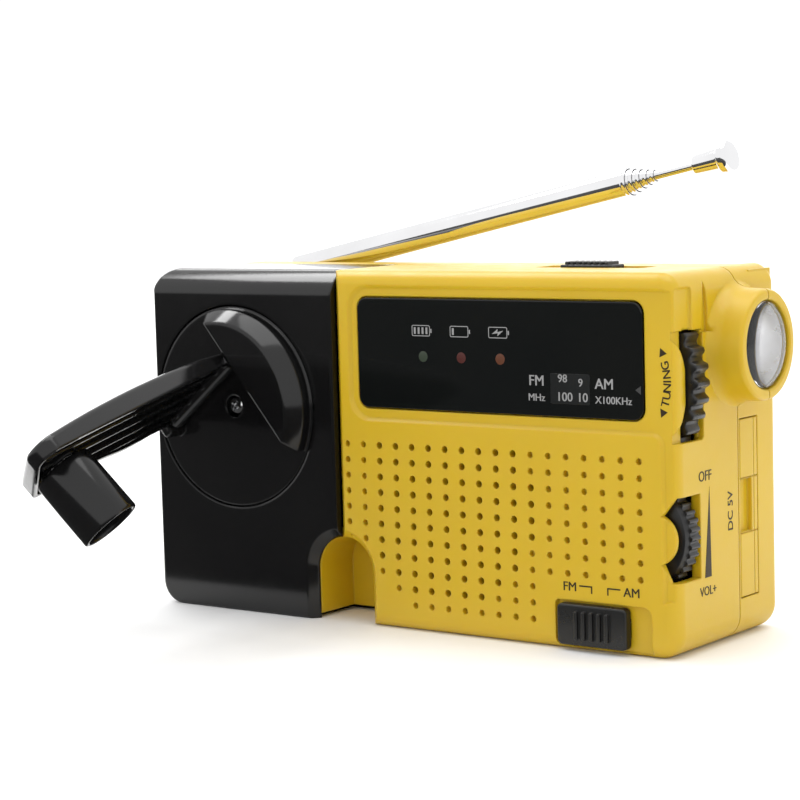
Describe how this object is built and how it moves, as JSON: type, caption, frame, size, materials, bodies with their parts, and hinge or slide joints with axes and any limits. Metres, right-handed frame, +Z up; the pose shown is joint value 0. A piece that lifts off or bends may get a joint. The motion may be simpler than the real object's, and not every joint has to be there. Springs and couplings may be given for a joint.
{
  "type": "hand-crank emergency radio",
  "caption": "Compact hand-cranked camping radio with folding crank, telescopic antenna, torch, tuning and volume thumb wheels, slide switches and a charging socket behind a flap.",
  "frame": {"origin": "centre of the flat underside of the case, between its front and back faces", "axes": "+X to the right when the dial faces the viewer (the torch end), +Y from the front face to the back, +Z up"},
  "size_m": [0.1355, 0.1068, 0.096],
  "materials": {
    "yellow_plastic": "satin moulded",
    "black_gloss": "polished",
    "black_plastic": "fine matt",
    "smoked_window": "polished, printed from behind",
    "chrome": "bright plated tube",
    "steel": "plain",
    "clear_plastic": "clear polycarbonate",
    "white_nylon": "moulded",
    "circuit_board": "lacquered",
    "paper_cone": "matt",
    "lamp_full": "tinted, unlit",
    "lamp_low": "tinted, unlit",
    "lamp_charging": "tinted, unlit",
    "sleeve": "shrink film",
    "ferrite": "sintered",
    "copper_wire": "enamelled"
  },
  "bodies": {
    "case": {"front_shell": "yellow_plastic", "crank_housing": "black_gloss", "rear_shell": "yellow_plastic", "case_screw_upper_left": "steel", "case_screw_lower_left": "steel", "case_screw_middle": "steel", "case_screw_lower_right": "steel", "display_window": "smoked_window", "idler_axle": "steel", "dynamo": "steel", "gear_plate": "steel", "tuning_capacitor": "clear_plastic", "volume_control": "steel", "band_switch": "steel", "torch_switch": "steel", "torch_lens": "clear_plastic", "torch_reflector": "chrome", "torch_lamp": "clear_plastic", "torch_board": "circuit_board", "speaker_basket": "steel", "speaker_magnet": "steel", "speaker_cone": "paper_cone", "main_board": "circuit_board", "indicator_full": "lamp_full", "indicator_low": "lamp_low", "indicator_charging": "lamp_charging", "indicator_board": "circuit_board", "battery_pack": "sleeve", "ferrite_rod": "ferrite", "ferrite_coil": "copper_wire", "power_socket": "black_plastic", "antenna_bracket": "steel"},
    "crank": {"crank_disc": "black_gloss", "crank_hinge_pin": "steel", "crank_screw": "steel", "crank_gear": "white_nylon", "crank_shaft": "steel"},
    "crank_arm": {"crank_arm": "black_gloss", "knob_pin": "steel"},
    "crank_knob": {"crank_knob": "black_gloss"},
    "idler": {"idler_gear": "white_nylon"},
    "rotor": {"rotor_pinion": "white_nylon", "rotor_shaft": "steel"},
    "tuning": {"tuning_wheel": "black_plastic", "tuning_dial": "black_plastic", "tuning_shaft": "steel"},
    "volume": {"volume_wheel": "black_plastic", "volume_shaft": "steel"},
    "band_slider": {"band_switch_knob": "black_plastic"},
    "torch_slider": {"torch_switch_knob": "black_plastic"},
    "port_cover": {"port_cover": "yellow_plastic"},
    "antenna_base": {"antenna_base": "chrome", "antenna_tilt_pin": "steel"},
    "antenna_section_1": {"antenna_section_1": "chrome"},
    "antenna_section_2": {"antenna_section_2": "chrome"},
    "antenna_section_3": {"antenna_section_3": "chrome"},
    "antenna_section_4": {"antenna_section_4": "chrome"},
    "antenna_section_5": {"antenna_section_5": "chrome"},
    "antenna_rod": {"antenna_rod": "chrome", "antenna_tip": "chrome"}
  },
  "joints": [
    {"name": "crank_spin", "type": "hinge", "parent": "case", "child": "crank", "pos_m": [-0.04215, -0.018, 0.0434], "axis": [0, 1, 0], "continuous": true},
    {"name": "crank_fold", "type": "hinge", "parent": "crank", "child": "crank_arm", "pos_m": [-0.04663, -0.02245, 0.04878], "axis": [-0.7683, 0, -0.6401], "range_deg": [-75.3, 98.3]},
    {"name": "knob_spin", "type": "hinge", "parent": "crank_arm", "child": "crank_knob", "pos_m": [-0.04099, -0.07344, 0.03779], "axis": [0.6229, 0.2301, -0.7477], "continuous": true},
    {"name": "idler_spin", "type": "hinge", "parent": "case", "child": "idler", "pos_m": [-0.03726, -0.008, 0.02514], "axis": [0, 1, 0], "continuous": true},
    {"name": "rotor_spin", "type": "hinge", "parent": "case", "child": "rotor", "pos_m": [-0.05051, -0.007, 0.01749], "axis": [0, 1, 0], "continuous": true},
    {"name": "tuning_turn", "type": "hinge", "parent": "case", "child": "tuning", "pos_m": [0.048, -0.014, 0.0513], "axis": [0, 1, 0], "range_deg": [-85, 85]},
    {"name": "volume_turn", "type": "hinge", "parent": "case", "child": "volume", "pos_m": [0.054, -0.015, 0.0225], "axis": [0, 1, 0], "range_deg": [0, 270]},
    {"name": "band_slide", "type": "slide", "parent": "case", "child": "band_slider", "axis": [1, 0, 0], "range_m": [0, 0.0048]},
    {"name": "torch_slide", "type": "slide", "parent": "case", "child": "torch_slider", "axis": [1, 0, 0], "range_m": [0, 0.006]},
    {"name": "port_cover_hinge", "type": "hinge", "parent": "case", "child": "port_cover", "pos_m": [0.063, 0.0101, 0.0255], "axis": [0, 0, 1], "range_deg": [0, 90]},
    {"name": "antenna_swivel", "type": "hinge", "parent": "case", "child": "antenna_base", "pos_m": [-0.0565, 0.0155, 0.0695], "axis": [0, 0, 1], "range_deg": [0, 105]},
    {"name": "antenna_tilt", "type": "hinge", "parent": "antenna_base", "child": "antenna_section_1", "pos_m": [-0.0565, 0.0155, 0.0695], "axis": [0, -1, 0], "range_deg": [-11.6, 78.4]},
    {"name": "antenna_slide_1", "type": "slide", "parent": "antenna_section_1", "child": "antenna_section_2", "axis": [0.9796, 0, 0.2011], "range_m": [0, 0.07]},
    {"name": "antenna_slide_2", "type": "slide", "parent": "antenna_section_2", "child": "antenna_section_3", "axis": [0.9796, 0, 0.2011], "range_m": [0, 0.07]},
    {"name": "antenna_slide_3", "type": "slide", "parent": "antenna_section_3", "child": "antenna_section_4", "axis": [0.9796, 0, 0.2011], "range_m": [0, 0.07]},
    {"name": "antenna_slide_4", "type": "slide", "parent": "antenna_section_4", "child": "antenna_section_5", "axis": [0.9796, 0, 0.2011], "range_m": [0, 0.07]},
    {"name": "antenna_slide_5", "type": "slide", "parent": "antenna_section_5", "child": "antenna_rod", "axis": [0.9796, 0, 0.2011], "range_m": [-0.009, 0.07]}
  ],
  "couplings": [
    {"joint": "idler_spin", "follows": "crank_spin", "ratio": -3.2},
    {"joint": "rotor_spin", "follows": "crank_spin", "ratio": 10.4}
  ]
}
